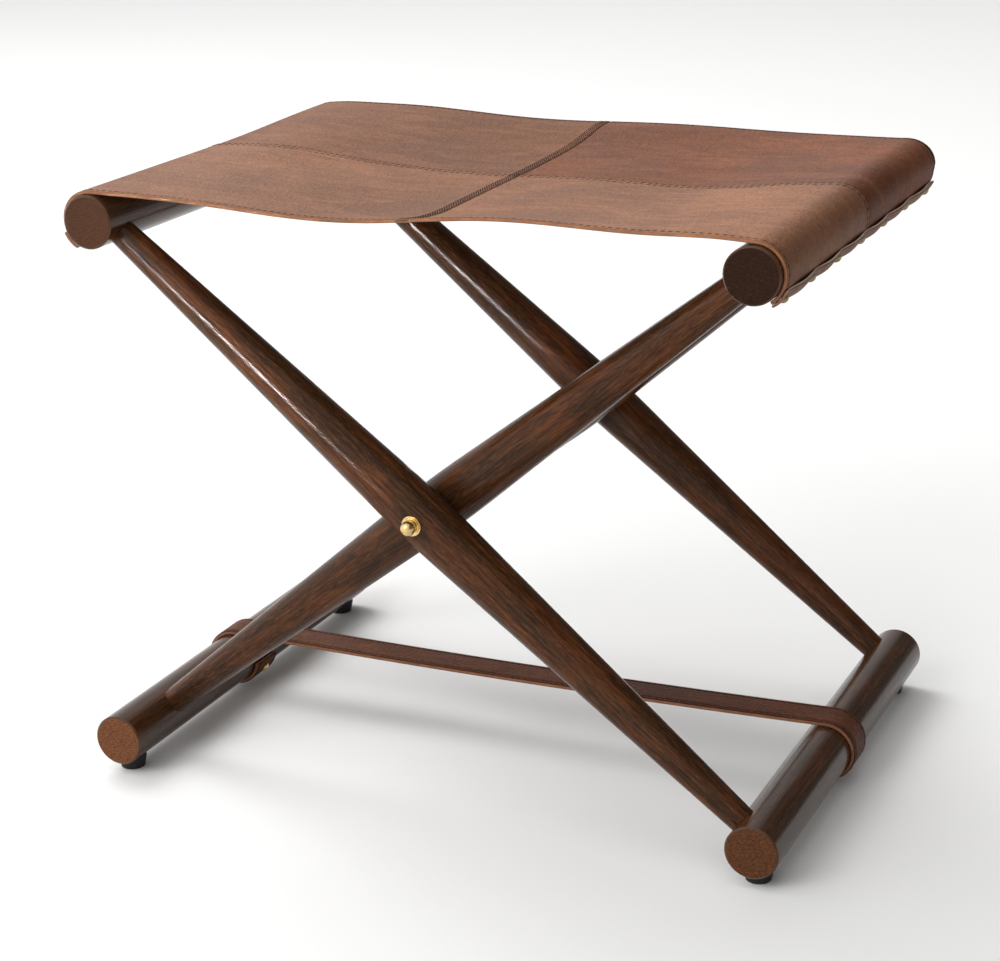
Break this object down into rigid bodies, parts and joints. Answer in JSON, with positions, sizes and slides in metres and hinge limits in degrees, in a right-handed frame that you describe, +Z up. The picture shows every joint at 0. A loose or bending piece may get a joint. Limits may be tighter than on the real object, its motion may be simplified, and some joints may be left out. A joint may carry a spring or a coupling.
{
  "type": "camp stool",
  "caption": "Folding X-frame camp stool: turned wooden legs on pivot bolts, round wooden rails, leather sling seat nailed round the top rails and a leather stretcher strap below.",
  "frame": {"origin": "on the floor, midway between the four feet", "axes": "+X from the left rails to the right rails, +Y from front to back along the rails, +Z up"},
  "size_m": [0.5634, 0.4076, 0.4629],
  "materials": {
    "stained_wood": "satin, dark brown stain",
    "seat_leather": "waxed, soft sheen",
    "strip_leather": "waxed, soft sheen",
    "strap_leather": "waxed, soft sheen",
    "brass": "polished",
    "rubber": "matt",
    "steel": "plain"
  },
  "bodies": {
    "outer_frame": {"top_rail_left": "stained_wood", "bottom_rail_right": "stained_wood", "leg_outer_front": "stained_wood", "leg_outer_rear": "stained_wood", "pivot_bolt_front": "brass", "pivot_bolt_rear": "brass", "head_washer_front": "brass", "head_washer_rear": "brass", "spacer_washer_front": "brass", "spacer_washer_rear": "brass", "nut_washer_front": "brass", "nut_washer_rear": "brass", "cap_nut_front": "brass", "cap_nut_rear": "brass", "foot_right_front": "rubber", "foot_right_rear": "rubber", "foot_screws_right": "steel", "seat_panel_left_front": "seat_leather", "seat_panel_left_rear": "seat_leather", "nail_strip_left": "strip_leather", "seat_nails_left": "brass", "strap_screw_right": "brass", "stretcher_strap": "strap_leather"},
    "inner_frame": {"top_rail_right": "stained_wood", "bottom_rail_left": "stained_wood", "leg_inner_front": "stained_wood", "leg_inner_rear": "stained_wood", "foot_left_front": "rubber", "foot_left_rear": "rubber", "foot_screws_left": "steel", "seat_panel_right_front": "seat_leather", "seat_panel_right_rear": "seat_leather", "nail_strip_right": "strip_leather", "seat_nails_right": "brass", "strap_screw_left": "brass"}
  },
  "joints": [
    {"name": "fold", "type": "hinge", "parent": "outer_frame", "child": "inner_frame", "pos_m": [0, 0, 0.23667], "axis": [0, -1, 0], "range_deg": [0, 90], "deforming": ["seat_panel_left_front", "seat_panel_left_rear", "seat_panel_right_front", "seat_panel_right_rear", "stretcher_strap"]}
  ]
}
